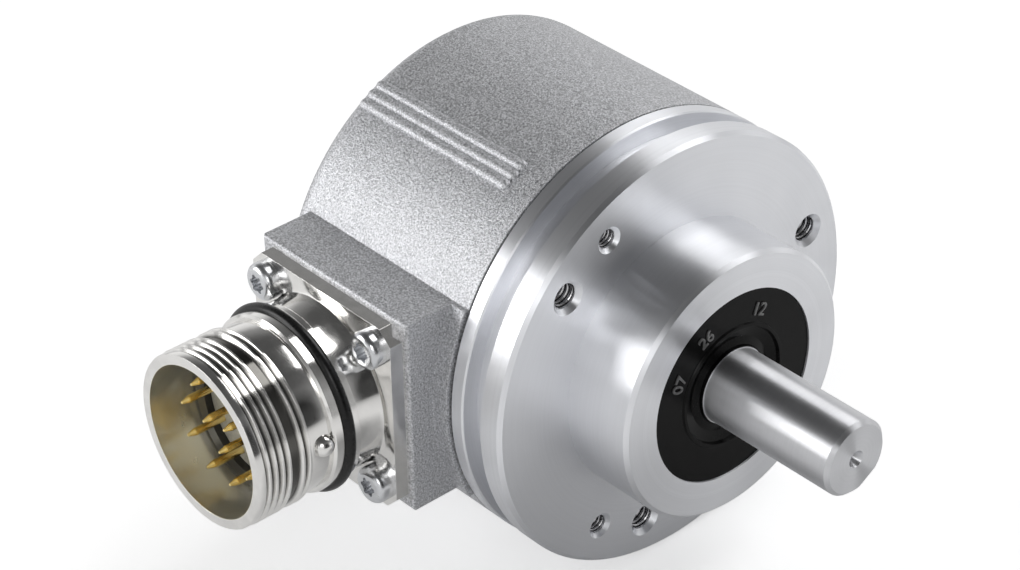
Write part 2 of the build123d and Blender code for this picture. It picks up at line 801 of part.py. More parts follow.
# Four pan head screws with six-lobe recesses hold the connector
with BuildPart() as connector_screws:
    with BuildSketch(facing_connector(plate_front_y)):
        with GridLocations(screw_pitch, screw_pitch, 2, 2):
            Circle(pan_head_r)
    extrude(amount=pan_head_height)
    fillet(connector_screws.faces().group_by(Axis.Y)[0].edges(), pan_head_height * 0.45)
    with BuildSketch(facing_connector(plate_front_y - pan_head_height)):
        with GridLocations(screw_pitch, screw_pitch, 2, 2):
            Circle(recess_r * 0.8)
            with PolarLocations(recess_r * 0.78, 6):
                Circle(recess_r * 0.24)
    extrude(amount=-recess_depth, mode=Mode.SUBTRACT)
    with BuildSketch(facing_connector(plate_front_y)):
        with GridLocations(screw_pitch, screw_pitch, 2, 2):
            Circle(m3_r)
    extrude(amount=-(plate_thickness + connector_screw_grip))
connector_screws.part.label = "connector_screws"
export_step(connector_screws.part, "parts/connector_screws.step")

# Insulating insert: dark outer body and a lighter, set-back core with the contact bores
with BuildPart() as insert_body:
    revolve(
        about_connector([
            (insert_core_r + soft_gap, insert_y), (mouth_r - 0.35, insert_y),
            (mouth_r - soft_gap, insert_y + 0.3), (mouth_r - soft_gap, mouth_floor_y - soft_gap),
            (tail_bore_r - soft_gap, mouth_floor_y - soft_gap), (tail_bore_r - soft_gap, tail_y - contact_stub),
            (insert_core_r + soft_gap, tail_y - contact_stub),
        ]),
        axis=connector_axis,
    )
insert_body.part.label = "insert_body"
export_step(insert_body.part, "parts/insert_body.step")

with BuildPart() as insert_core:
    with BuildSketch(facing_connector(tail_y - contact_stub)):
        Circle(insert_core_r)
        with Locations(*contact_places()):
            Circle(contact_r + soft_gap, mode=Mode.SUBTRACT)
    extrude(amount=tail_y - contact_stub - core_y)
insert_core.part.label = "insert_core"
export_step(insert_core.part, "parts/insert_core.step")

with BuildPart() as contact_pins:
    with BuildSketch(facing_connector(contact_end_y)):
        with Locations(*contact_places()):
            Circle(contact_r)
    extrude(amount=contact_end_y - contact_tip_y - contact_tip_len)
    with BuildSketch(facing_connector(contact_tip_y + contact_tip_len)):
        with Locations(*contact_places()):
            Circle(contact_r)
    extrude(amount=contact_tip_len, taper=contact_tip_taper)
contact_pins.part.label = "contact_pins"
export_step(contact_pins.part, "parts/contact_pins.step")

# Hub on the rear journal, code disc, clamp washer and clamp screw
with BuildPart() as disc_hub:
    revolve(
        outline([
            (journal_x, journal_r + press_gap), (journal_x, hub_r), (disc_front_x + hub_flange_len, hub_r),
            (disc_front_x + hub_flange_len, hub_flange_r), (disc_front_x, hub_flange_r),
            (disc_front_x, journal_r + press_gap),
        ]),
        axis=shaft_axis,
    )
disc_hub.part.label = "disc_hub"
export_step(disc_hub.part, "parts/disc_hub.step")

with BuildPart() as code_disc:
    revolve(tube_outline(disc_rear_x, disc_front_x, disc_bore_r, disc_r), axis=shaft_axis)
code_disc.part.label = "code_disc"
export_step(code_disc.part, "parts/code_disc.step")

with BuildPart() as clamp_washer:
    revolve(tube_outline(washer_x, disc_rear_x, m3_r + thread_clearance, hub_r), axis=shaft_axis)
clamp_washer.part.label = "clamp_washer"
export_step(clamp_washer.part, "parts/clamp_washer.step")

with BuildPart() as clamp_screw:
    with BuildSketch(across(washer_x)):
        Circle(pan_head_r)
    extrude(amount=-pan_head_height * 0.8)
    with BuildSketch(across(washer_x - pan_head_height * 0.8)):
        RegularPolygon(recess_r, 6)
    extrude(amount=recess_depth, mode=Mode.SUBTRACT)
    with BuildSketch(across(washer_x)):
        Circle(m3_r)
    extrude(amount=clamp_screw_len)
clamp_screw.part.label = "clamp_screw"
export_step(clamp_screw.part, "parts/clamp_screw.step")

# Light source: bracket beside the boss, lamp and lens looking at the disc's track
with BuildPart() as lamp_bracket:
    leg_low = boss_r + bracket_gap
    leg_high = leg_low + bracket_wall
    revolve(
        outline([
            (register_end_x, leg_low), (lamp_back_x, leg_low), (lamp_back_x, track_r - bracket_inset),
            (lamp_face_x, track_r - bracket_inset), (lamp_face_x, leg_high), (register_end_x, leg_high),
        ]).rotate(shaft_axis, lamp_angle - bracket_half_angle),
        axis=shaft_axis,
        revolution_arc=2 * bracket_half_angle,
    )
    with Locations(across(lamp_face_x)):
        with Locations((lamp_y, lamp_z)):
            Hole(lamp_r)
lamp_bracket.part.label = "lamp_bracket"
export_step(lamp_bracket.part, "parts/lamp_bracket.step")

with BuildPart() as lamp:
    with BuildSketch(across(lamp_back_x - lamp_setback)):
        with Locations((lamp_y, lamp_z)):
            Circle(lamp_r - soft_gap)
    extrude(amount=lamp_face_x - lamp_back_x + lamp_setback)
    fillet(lamp.faces().sort_by(Axis.X)[0].edges(), lens_round)
lamp.part.label = "lamp"
export_step(lamp.part, "parts/lamp.step")

# Scanning side: reticle, sensor chip and sensor board with its openings
with BuildPart() as reticle:
    with BuildSketch(across(reticle_x)):
        with Locations((lamp_y, lamp_z)):
            Rectangle(reticle_width, reticle_height)
    extrude(amount=-reticle_thickness)
reticle.part.label = "reticle"
export_step(reticle.part, "parts/reticle.step")

with BuildPart() as sensor_chip:
    with BuildSketch(across(chip_x)):
        with Locations((lamp_y, lamp_z)):
            Rectangle(chip_width, chip_height)
    extrude(amount=-chip_thickness)
sensor_chip.part.label = "sensor_chip"
export_step(sensor_chip.part, "parts/sensor_chip.step")

with BuildPart() as sensor_board:
    with BuildSketch(across(sensor_board_x)):
        Circle(board_r)
        with Locations((board_flat_y - board_r, 0)):
            Rectangle(2 * board_r, 2 * board_r, mode=Mode.SUBTRACT)
        Circle(board_window_r, mode=Mode.SUBTRACT)
        with Locations(*around(pillar_radius, pillar_angles)):
            Circle(pillar_r + notch_gap, mode=Mode.SUBTRACT)
        with Locations(*around(standoff_radius, standoff_angles)):
            Circle(m3_core_r + board_hole_gap, mode=Mode.SUBTRACT)
    extrude(amount=-board_thickness)
sensor_board.part.label = "sensor_board"
export_step(sensor_board.part, "parts/sensor_board.step")

with BuildPart() as main_board:
    with BuildSketch(across(main_board_x)):
        Circle(housing_inner_r - main_board_gap)
        with Locations(*around(pillar_radius, pillar_angles)):
            Circle(pillar_r + notch_gap, mode=Mode.SUBTRACT)
        with Locations(*around(standoff_radius, standoff_angles)):
            Circle(m3_core_r + board_hole_gap, mode=Mode.SUBTRACT)
    extrude(amount=-board_thickness)
main_board.part.label = "main_board"
export_step(main_board.part, "parts/main_board.step")

# Packages on the main board: a processor, line drivers and passives
with BuildPart() as board_packages:
    with BuildSketch(across(main_board_x)):
        with Locations(processor_place):
            Rectangle(processor_size, processor_size)
        with Locations(*driver_places):
            Rectangle(driver_width, driver_height)
    extrude(amount=package_rise)
    with BuildSketch(across(main_board_x)):
        with Locations(passive_place):
            with GridLocations(*passive_pitch, 2, 4):
                Rectangle(passive_width, passive_height)
    extrude(amount=passive_rise)
board_packages.part.label = "board_packages"
export_step(board_packages.part, "parts/board_packages.step")

# Standoffs, spacers and screws that stack both boards on the flange
with BuildPart() as board_standoffs:
    with BuildSketch(across(sensor_board_x)):
        with Locations(*around(standoff_radius, standoff_angles)):
            RegularPolygon(standoff_r, 6)
            Circle(m3_core_r, mode=Mode.SUBTRACT)
    extrude(amount=register_end_x - sensor_board_x)
board_standoffs.part.label = "board_standoffs"
export_step(board_standoffs.part, "parts/board_standoffs.step")

with BuildPart() as board_spacers:
    with BuildSketch(across(main_board_x)):
        with Locations(*around(standoff_radius, standoff_angles)):
            Circle(standoff_r)
            Circle(m3_core_r + board_hole_gap, mode=Mode.SUBTRACT)
    extrude(amount=sensor_board_x - board_thickness - main_board_x)
board_spacers.part.label = "board_spacers"
export_step(board_spacers.part, "parts/board_spacers.step")

with BuildPart() as board_screws:
    board_screw_r = m3_core_r - seat_gap
    with BuildSketch(across(main_board_rear_x)):
        with Locations(*around(standoff_radius, standoff_angles)):
            Circle(standoff_r)
    extrude(amount=-small_head_height)
    with BuildSketch(across(main_board_rear_x - small_head_height)):
        with Locations(*around(standoff_radius, standoff_angles)):
            RegularPolygon(recess_r * 0.8, 6)
    extrude(amount=recess_depth * 0.7, mode=Mode.SUBTRACT)
    with BuildSketch(across(main_board_rear_x)):
        with Locations(*around(standoff_radius, standoff_angles)):
            Circle(board_screw_r)
    extrude(amount=sensor_board_x + board_screw_grip - main_board_rear_x)
board_screws.part.label = "board_screws"
export_step(board_screws.part, "parts/board_screws.step")

# Header on the main board and the wires from the contacts to it
with BuildPart() as wire_header:
    with BuildSketch(across(main_board_x)):
        with Locations(((header_low_y + header_top_y) / 2, 0)):
            Rectangle(header_top_y - header_low_y, 2 * header_half)
    extrude(amount=header_height)
wire_header.part.label = "wire_header"
export_step(wire_header.part, "parts/wire_header.step")

with BuildPart() as contact_wires:
    header_face_x = main_board_x + header_height
    first_x = connector_x - outer_contact_r
    spread = (header_top_y - header_low_y - 2 * (wire_r + wire_inset)) / (2 * outer_contact_r)
    for across_x, z in contact_places():
        wire_x = connector_x + across_x
        wire_y = header_low_y + wire_r + wire_inset + (wire_x - first_x) * spread
        with BuildLine() as route:
            FilletPolyline(
                (wire_x, contact_end_y, z), (wire_x, wire_y, z), (header_face_x, wire_y, z), radius=wire_bend
            )
        with BuildSketch(Plane(origin=(wire_x, contact_end_y, z), x_dir=(1, 0, 0), z_dir=(0, 1, 0))):
            Circle(wire_r)
        sweep(path=route.line)
contact_wires.part.label = "contact_wires"
export_step(contact_wires.part, "parts/contact_wires.step")
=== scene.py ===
# %% [markdown]
# An optical rotary encoder, dressed for its portrait.
#
# The construction comes from the CAD model: flange, shaft, housing, connector and everything inside.
# This notebook gives each of those pieces its finish and adds the small forms that the construction leaves
# plain: the threads in the tapped holes, the round crowns of the ribs, the figures on the seal and the tracks
# on the glass disc. It ends with the camera, the floor, the room and the lamps.

# %% Load the construction
import bpy
import numpy as np
from mathutils import Matrix, Vector


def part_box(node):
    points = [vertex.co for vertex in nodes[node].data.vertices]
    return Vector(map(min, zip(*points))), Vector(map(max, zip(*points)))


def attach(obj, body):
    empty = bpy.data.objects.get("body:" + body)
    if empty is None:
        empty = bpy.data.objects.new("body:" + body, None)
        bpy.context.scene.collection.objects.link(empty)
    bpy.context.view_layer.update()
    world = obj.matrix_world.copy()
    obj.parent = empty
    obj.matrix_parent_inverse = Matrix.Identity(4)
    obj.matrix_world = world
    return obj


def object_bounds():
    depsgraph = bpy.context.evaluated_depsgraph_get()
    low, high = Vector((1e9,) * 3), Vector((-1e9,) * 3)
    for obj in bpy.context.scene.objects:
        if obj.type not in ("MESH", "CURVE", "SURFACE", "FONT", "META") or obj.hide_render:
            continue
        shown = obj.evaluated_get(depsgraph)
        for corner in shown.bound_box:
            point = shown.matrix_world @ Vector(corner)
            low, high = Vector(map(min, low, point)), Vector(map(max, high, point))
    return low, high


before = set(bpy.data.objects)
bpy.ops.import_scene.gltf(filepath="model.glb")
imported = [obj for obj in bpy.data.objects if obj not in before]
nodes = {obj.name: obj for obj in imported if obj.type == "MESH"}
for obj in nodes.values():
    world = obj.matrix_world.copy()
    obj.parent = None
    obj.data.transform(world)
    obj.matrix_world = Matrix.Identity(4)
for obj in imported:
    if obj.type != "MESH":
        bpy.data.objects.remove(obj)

cad_box = [list(corner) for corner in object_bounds()]
print(len(nodes), "nodes in", [round(v * 1000, 1) for corner in cad_box for v in corner], "mm")

# %% [markdown]
# Everything is in metres, in the frame of the construction: +X along the shaft, -Y along the connector and
# +Z up. Places that the new pieces need are read from the construction's own boxes, so that they meet it.

# %% Places read from the construction
mm = 0.001
fixing_circle_r = 24.0 * mm
seal_face_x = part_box("shaft_seal")[1].x
disc_face_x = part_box("code_disc")[0].x
shaft_end_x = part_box("shaft")[1].x
oring_low, oring_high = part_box("connector_oring")
connector_x = (oring_low.x + oring_high.x) / 2
print("connector axis at x =", round(connector_x / mm, 2), "mm")
print("seal face at", round(seal_face_x / mm, 2), "mm; shaft's end at", round(shaft_end_x / mm, 2), "mm")

# %% [markdown]
# The construction arrives as loose triangles. Two modifiers make it shade as machined metal does: Weld joins
# the triangles where they touch, and Edge Split keeps every edge sharper than 28 degrees crisp, while rounds
# and cylinders blend smoothly. Neither changes the part's size.

# %% Smooth shading for the construction
weld_distance = 0.0005 * mm
crisp_angle = np.radians(28)


def smooth_where_round(piece):
    """Weld the piece's triangles and split its shading at sharp edges only."""
    weld = piece.modifiers.new("weld", "WELD")
    weld.merge_threshold = weld_distance
    split = piece.modifiers.new("crisp_edges", "EDGE_SPLIT")
    split.split_angle = crisp_angle
    piece.data.polygons.foreach_set("use_smooth", np.ones(len(piece.data.polygons), dtype=bool))


for node in nodes.values():
    smooth_where_round(node)
print("smoothed", len(nodes), "nodes")

# %% [markdown]
# New pieces are surfaces worked out with numpy. A surface is a grid of points: rows run along one parameter,
# columns along the other. Where the grid closes on itself, its last row or column joins its first one.

# %% A mesh from a grid of points


def grid_faces(rows, columns, close_rows=False, close_columns=False, start=0):
    """Index quads of a grid: corner (i, j) joins (i+1, j), (i+1, j+1) and (i, j+1), wrapped where closed."""
    i = np.arange(rows if close_rows else rows - 1)[:, None]
    j = np.arange(columns if close_columns else columns - 1)[None, :]
    i_next, j_next = (i + 1) % rows, (j + 1) % columns
    quads = np.stack(np.broadcast_arrays(
        i * columns + j, i_next * columns + j, i_next * columns + j_next, i * columns + j_next
    ), axis=-1)
    return quads.reshape(-1, 4) + start


def add_piece(name, mesh, body, material):
    """An object of this mesh that rides on a body and takes a finish."""
    mesh.materials.append(material)
    mesh.update()
    piece = bpy.data.objects.new(name, mesh)
    bpy.context.scene.collection.objects.link(piece)
    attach(piece, body)
    print(name, len(mesh.polygons), "faces on", body)
    return piece


def mesh_piece(name, points, faces, body, material, smooth=True):
    """A piece from arrays of points and faces."""
    mesh = bpy.data.meshes.new(name)
    mesh.from_pydata(np.asarray(points).reshape(-1, 3).tolist(), [], [list(map(int, f)) for f in faces])
    mesh.polygons.foreach_set("use_smooth", np.full(len(mesh.polygons), smooth))
    return add_piece(name, mesh, body, material)


print("mesh helpers ready")

# %% [markdown]
# A finish is a small node tree. Most finishes here need the same helpers: a fresh material whose shader
# sockets are set to plain numbers, a node with its sockets set, a wire between two sockets, and a few short
# chains of nodes that scale, multiply, mix or turn a value. The room's own tree takes the same helpers.

# %% Node helpers


def new_finish(name, color, **sockets):
    """A material with this base colour and these sockets of its shader set."""
    material = bpy.data.materials.new(name)
    material.use_nodes = True
    shader = material.node_tree.nodes["Principled BSDF"]
    shader.inputs["Base Color"].default_value = (*color, 1)
    for socket, value in sockets.items():
        shader.inputs[socket.replace("_", " ").title().replace("Ior", "IOR")].default_value = value
    return material, shader


def add(material, kind, operation=None, **sockets):
    """A node of this kind, with its operation and the sockets given by name."""
    node = material.node_tree.nodes.new(f"ShaderNode{kind}")
    if operation:
        node.operation = operation
    for socket, value in sockets.items():
        node.inputs[socket].default_value = value
    return node


def wire(material, source, target):
    """Join an output socket to an input socket."""
    material.node_tree.links.new(source, target)


def feed(material, value, target):
    """Give an input socket this value: another socket, or a plain number or colour."""
    if isinstance(value, bpy.types.NodeSocket):
        wire(material, value, target)
    else:
        target.default_value = value


def calculate(material, operation, *values):
    """A Math node of this operation on sockets or plain numbers, in their order."""
    node = add(material, "Math", operation)
    for value, target in zip(values, node.inputs):
        feed(material, value, target)
    return node.outputs[0]


def mixed(material, share, first, second):
    """A colour that runs from the first to the second with the share."""
    mix = add(material, "Mix")
    mix.data_type = "RGBA"
    wire(material, share, mix.inputs[0])
    feed(material, first, mix.inputs[6])
    feed(material, second, mix.inputs[7])
    return mix.outputs[2]


print("helpers for node trees ready")

# %% [markdown]
# Noise seldom comes near 0 or 1, so a finish takes the middle of its range and spreads that over the tones or
# the gloss that it needs.

# %% Helpers for places and colours
middle_noise = (0.35, 0.65)
most_noise = (0.3, 0.7)


def part_of(material, vector, axis):
    """One coordinate of a vector socket."""
    parts = add(material, "SeparateXYZ")
    wire(material, vector, parts.inputs[0])
    return parts.outputs[axis]


def mix_in(material, share, color, shader):
    """Mix this plain colour into the shader's base colour by the share."""
    base = shader.inputs["Base Color"]
    wire(material, mixed(material, share, base.links[0].from_socket, (*color, 1)), base)


def object_place(material):
    """The surface point in the object's own metres."""
    return add(material, "TexCoord").outputs["Object"]


def world_way(material, direction, kind):
    """A direction in the object's own axes, turned with the object; kind is NORMAL or VECTOR."""
    turned_way = add(material, "VectorTransform")
    turned_way.vector_type = kind
    turned_way.convert_from, turned_way.convert_to = "OBJECT", "WORLD"
    wire(material, direction, turned_way.inputs[0])
    return turned_way.outputs[0]


def noise(material, place, scale, detail=3.0, roughness=0.55):
    """Smooth noise with features of about 1 / scale metres."""
    texture = add(material, "TexNoise", Scale=scale, Detail=detail, Roughness=roughness)
    wire(material, place, texture.inputs["Vector"])
    return texture.outputs["Fac"]


def spread(material, value, low, high, out_low, out_high):
    """The value carried from the range low..high to out_low..out_high, held inside it."""
    ranges = add(material, "MapRange")
    for socket, number in zip(("From Min", "From Max", "To Min", "To Max"), (low, high, out_low, out_high)):
        ranges.inputs[socket].default_value = number
    wire(material, value, ranges.inputs["Value"])
    return ranges.outputs["Result"]


def tint(material, shader, value, dark, light):
    """Base colour that runs from dark to light as the value goes from 0 to 1."""
    ramp = add(material, "ValToRGB")
    ramp.color_ramp.elements[0].color = (*dark, 1)
    ramp.color_ramp.elements[1].color = (*light, 1)
    wire(material, value, ramp.inputs["Fac"])
    wire(material, ramp.outputs["Color"], shader.inputs["Base Color"])


def relief(material, shader, height, depth, strength=1.0, edge_r=0.0):
    """Bump of this depth in metres, on normals that are rounded over edge_r at the piece's edges."""
    bump = add(material, "Bump", Strength=strength, Distance=depth)
    wire(material, height, bump.inputs["Height"])
    if edge_r:
        rounding = add(material, "Bevel", Radius=edge_r)
        rounding.samples = 4
        wire(material, rounding.outputs["Normal"], bump.inputs["Normal"])
    wire(material, bump.outputs["Normal"], shader.inputs["Normal"])


print("helpers for places and colours ready")

# %% [markdown]
# The housing is die-cast and coated with a coarse metallic paint. Close up it is a field of grains a quarter
# of a millimetre wide that catch the light one by one. Two layers of noise give the grains, and the coat is
# part metal, part pigment, so that the highlight spreads wide over the cylinder.

# %% Sandy die-cast finish
grain = 0.26 * mm
fine_grain = 0.14 * mm
grain_depth = 0.10 * mm
grain_strength = 0.6
sparkle_range = (0.80, 1.20)
grain_shade = (0.30, 0.305, 0.32)
grain_light = (0.83, 0.835, 0.86)
coat_gloss = (0.38, 0.56)
cast_edge_r = 0.25 * mm


def cast_finish():
    """Grains: coarse and fine noise summed for the relief, and their sum again for the sparkle."""
    material, shader = new_finish("sanded_casting", (0.50, 0.50, 0.51), metallic=0.75, roughness=0.47)
    place = object_place(material)
    coarse = noise(material, place, 1 / grain, 2.0)
    fine = noise(material, place, 1 / fine_grain, 2.0)
    both = calculate(material, "ADD", coarse, fine)
    tint(material, shader, spread(material, both, *sparkle_range, 0, 1), grain_shade, grain_light)
    wire(material, spread(material, coarse, *middle_noise, *coat_gloss), shader.inputs["Roughness"])
    relief(material, shader, both, grain_depth, grain_strength, cast_edge_r)
    return material


casting = cast_finish()
print("made", casting.name)

# %% [markdown]
# Turned metal has grooves too fine to see one by one. They stretch every highlight across themselves, which
# draws the bright fans on a turned face. The shader does that with its anisotropy, given the direction of the
# grooves, which runs round the axis. A faint relief of rings, from noise on the distance along the axis and
# the distance from it, keeps the surface alive up close.

# %% Coordinates about an axis


def about_axis(material, centre, axis):
    """Two sockets: the coordinates (along, radius, 0) and the direction round the axis, from the point."""
    offset = add(material, "VectorMath", "SUBTRACT")
    offset.inputs[1].default_value = centre
    wire(material, object_place(material), offset.inputs[0])
    along = add(material, "VectorMath", "DOT_PRODUCT")
    along.inputs[1].default_value = axis
    wire(material, offset.outputs["Vector"], along.inputs[0])
    across = add(material, "VectorMath", "CROSS_PRODUCT")
    across.inputs[0].default_value = axis
    wire(material, offset.outputs["Vector"], across.inputs[1])
    radius = add(material, "VectorMath", "LENGTH")
    wire(material, across.outputs["Vector"], radius.inputs[0])
    pair = add(material, "CombineXYZ")
    wire(material, along.outputs["Value"], pair.inputs["X"])
    wire(material, radius.outputs["Value"], pair.inputs["Y"])
    round_way = add(material, "VectorMath", "NORMALIZE")
    wire(material, across.outputs["Vector"], round_way.inputs[0])
    return pair.outputs["Vector"], world_way(material, round_way.outputs["Vector"], "VECTOR")


on_shaft = (0, 0, 0), (1, 0, 0)
on_connector = (connector_x, 0, 0), (0, 1, 0)
print("coordinates about the shaft and the connector ready")

# %% Turned metal
across_grooves = 0.25
groove_shade = 0.95
patch_scale = 220.0
gloss_swing = 0.04


def turned_finish(name, color, roughness, anisotropy, ring, depth, end_face=None):
    """Metal turned about the shaft's axis: rings of this width and depth, highlights stretched across them.

    Beyond end_face along the axis the metal is faced, not ground, and rougher by faced_extra.
    """
    material, shader = new_finish(name, color, metallic=1.0, roughness=roughness, anisotropic=anisotropy)
    shader.inputs["Anisotropic Rotation"].default_value = across_grooves
    pair, round_way = about_axis(material, *on_shaft)
    rings = noise(material, pair, 1 / ring, 4.0, 0.7)
    patches = noise(material, object_place(material), patch_scale, 3.0)
    grooved = [c * groove_shade for c in color]
    tint(material, shader, spread(material, rings, *most_noise, 0, 1), grooved, color)
    gloss = spread(material, patches, *most_noise, roughness - gloss_swing, roughness + gloss_swing)
    if end_face:
        along = part_of(material, pair, "X")
        extra = spread(material, along, end_face, end_face + faced_fade, 0, faced_extra)
        gloss = calculate(material, "ADD", gloss, extra)
    wire(material, gloss, shader.inputs["Roughness"])
    wire(material, round_way, shader.inputs["Tangent"])
    if depth:
        relief(material, shader, rings, depth, 0.3)
    return material


turned = turned_finish("turned_aluminium", (0.87, 0.88, 0.91), 0.38, 0.85, 0.35 * mm, 0.003 * mm)
hub_metal = turned_finish("hub_aluminium", (0.70, 0.70, 0.72), 0.34, 0.5, 0.35 * mm, 0.003 * mm)
race_metal = turned_finish("race_steel", (0.66, 0.66, 0.67), 0.14, 0.3, 0.3 * mm, 0.001 * mm)
print("made", turned.name, hub_metal.name, race_metal.name)

# %% [markdown]
# The shaft is steel, ground smooth on its wall and faced at its end. Its wall is made of long thin triangles,
# and a normal blended over them makes a highlight ripple, so the finish works out the cylinder's own normal.
# The land that the seal's lip rides is painted black, a painted shade in the mouth of the seal.

# %% Ground shaft
wall_r = 5.0 * mm
wall_inside = (0.15 * mm, 0.135 * mm)
wall_outside = (0.03 * mm, 0.05 * mm)
wall_facing = (0.93, 0.95)
land_r = 5.15 * mm
seal_mouth_shade_fade = 0.05 * mm
# Painted shade for the shaft's land in the mouth of the seal.
seal_mouth_shade = (0.012, 0.012, 0.012)
faced_extra = 0.06
faced_fade = 0.01 * mm
faced_from_x = shaft_end_x - 0.02 * mm


def true_cylinder(material):
    """On the shaft's wall at wall_r, the exact radial normal in place of the one blended over long triangles.

    The normal is the place without its part along X. It is mixed in where the radius is the wall's and the
    facet faces the same way, so the driving flat, the end and the steps keep their own normals.
    """
    shader = material.node_tree.nodes["Principled BSDF"]
    flat_place = add(material, "VectorMath", "MULTIPLY")
    flat_place.inputs[1].default_value = (0, 1, 1)
    wire(material, object_place(material), flat_place.inputs[0])
    radius = add(material, "VectorMath", "LENGTH")
    wire(material, flat_place.outputs["Vector"], radius.inputs[0])
    outward = world_way(material, flat_place.outputs["Vector"], "NORMAL")
    facet = add(material, "NewGeometry")
    lean = add(material, "VectorMath", "DOT_PRODUCT")
    wire(material, facet.outputs["True Normal"], lean.inputs[0])
    wire(material, outward, lean.inputs[1])
    near = spread(material, radius.outputs["Value"], *(wall_r - gap for gap in wall_inside), 0, 1)
    inside = spread(material, radius.outputs["Value"], *(wall_r + gap for gap in wall_outside), 1, 0)
    facing = spread(material, lean.outputs["Value"], *wall_facing, 0, 1)
    share = calculate(material, "MULTIPLY", calculate(material, "MULTIPLY", facing, near), inside)
    chosen = add(material, "Mix")
    chosen.data_type = "VECTOR"
    wire(material, share, chosen.inputs[0])
    wire(material, facet.outputs["Normal"], chosen.inputs[4])
    wire(material, outward, chosen.inputs[5])
    wire(material, chosen.outputs[1], shader.inputs["Normal"])


def shade_seal_mouth(material):
    """Past the radius land_r the base colour is painted black, a painted shade in the mouth of the seal."""
    pair, _ = about_axis(material, *on_shaft)
    past = spread(material, part_of(material, pair, "Y"), land_r - seal_mouth_shade_fade, land_r, 0, 1)
    mix_in(material, past, seal_mouth_shade, material.node_tree.nodes["Principled BSDF"])


ground = turned_finish("ground_steel", (0.70, 0.705, 0.725), 0.39, 0.89, 0.30 * mm, 0, faced_from_x)
true_cylinder(ground)
shade_seal_mouth(ground)
print("made", ground.name)

# %% [markdown]
# The connector is brass under bright nickel. It is nearly a mirror, a little warm, with faint tool marks
# round its own axis and cloudy patches where fingers and plating left their trace.

# %% Nickel, zinc and gold
plated_ring = 0.3 * mm
plated_depth = 0.003 * mm
cloud_scale = 400.0
cloud_shade = 0.90
cloud_gloss = (0.7, 1.5)
bore_fade = 0.02 * mm
bore_roughness = 0.10
bore_metal = 0.92
bore_color = (0.98, 0.95, 0.82)
thread_start_y = -53.1 * mm
thread_end_y = -46.2 * mm
thread_fade = 0.1 * mm
thread_root_r = 10.95 * mm
thread_flank = 0.35 * mm
# Painted shade that darkens the roots of the connector's thread.
thread_root_painted_shade = (0.11, 0.107, 0.10)
fine_edge_r = 0.05 * mm


def plated_finish(name, color, roughness, centre, axis, edge_r=0.06 * mm, bore_r=0.0):
    """Plated metal: faint rings about the piece's axis, cloudy roughness, edges softened by the plating.

    Within bore_r of the axis the surface is as the boring tool left it: rougher, and yellower. In the roots
    of the thread the base colour is darkened, a painted shade that draws dark lines between the bright
    crests.
    """
    material, shader = new_finish(name, color, metallic=1.0, roughness=roughness, anisotropic=0.2)
    shader.inputs["Anisotropic Rotation"].default_value = across_grooves
    pair, round_way = about_axis(material, centre, axis)
    rings = noise(material, pair, 1 / plated_ring, 3.0, 0.6)
    clouds = noise(material, object_place(material), cloud_scale, 4.0)
    cloudy = [c * cloud_shade for c in color]
    tint(material, shader, spread(material, clouds, *middle_noise, 0, 1), cloudy, color)
    gloss = spread(material, clouds, *most_noise, *(roughness * share for share in cloud_gloss))
    if bore_r:
        along, radius = part_of(material, pair, "X"), part_of(material, pair, "Y")
        bored = spread(material, radius, bore_r, bore_r + bore_fade, 1, 0)
        wire(material, spread(material, bored, 0, 1, 1, bore_metal), shader.inputs["Metallic"])
        gloss = calculate(material, "MULTIPLY_ADD", bored, bore_roughness, gloss)
        # Painted shade: the roots of the thread are darkened in the base colour.
        root_shade_share = spread(material, radius, thread_root_r, thread_root_r + thread_flank, 1, 0)
        before_end = spread(material, along, thread_end_y - thread_fade, thread_end_y, 1, 0)
        past_start = spread(material, along, thread_start_y, thread_start_y + thread_fade, 0, 1)
        outside = spread(material, bored, 0, 1, 1, 0)
        for share in (before_end, past_start, outside):
            root_shade_share = calculate(material, "MULTIPLY", root_shade_share, share)
        mix_in(material, root_shade_share, thread_root_painted_shade, shader)
        mix_in(material, bored, bore_color, shader)
    wire(material, gloss, shader.inputs["Roughness"])
    wire(material, round_way, shader.inputs["Tangent"])
    relief(material, shader, rings, plated_depth, 0.5, edge_r)
    return material


nickel = plated_finish("bright_nickel", (0.87, 0.86, 0.84), 0.12, *on_connector, bore_r=10.05 * mm)
zinc = plated_finish("zinc_plating", (0.70, 0.71, 0.73), 0.22, *on_connector)
gold = plated_finish("contact_gold", (1.0, 0.80, 0.36), 0.14, *on_connector, fine_edge_r)
brass = plated_finish("turned_brass", (0.80, 0.62, 0.32), 0.26, *on_shaft)
spring_metal = plated_finish("spring_steel", (0.34, 0.34, 0.36), 0.28, *on_shaft, fine_edge_r)
print("made", nickel.name, zinc.name, gold.name, brass.name, spring_metal.name)

# %% [markdown]
# Rubber and plastic: what tells them apart is the gloss. The seal is glossy moulded rubber, the O-rings are
# duller, and the insulators are fine-grained plastic. Each gets a slight relief and a slight change of tone.

# %% Rubber and plastics
moulded_gloss = (0.85, 1.15)


def moulded_finish(name, dark, light, roughness, grain_size, depth, coat=0.0, shine=0.5, edge_r=0.06 * mm):
    """Moulded rubber or plastic: noise of the grain's size for tone, gloss and relief."""
    material, shader = new_finish(name, light, roughness=roughness, ior=1.5)
    shader.inputs["Specular IOR Level"].default_value = shine
    shader.inputs["Coat Weight"].default_value = coat
    texture = noise(material, object_place(material), 1 / grain_size, 3.0)
    tint(material, shader, spread(material, texture, *middle_noise, 0, 1), dark, light)
    gloss = spread(material, texture, *most_noise, *(roughness * share for share in moulded_gloss))
    wire(material, gloss, shader.inputs["Roughness"])
    relief(material, shader, texture, depth, 0.5, edge_r)
    return material


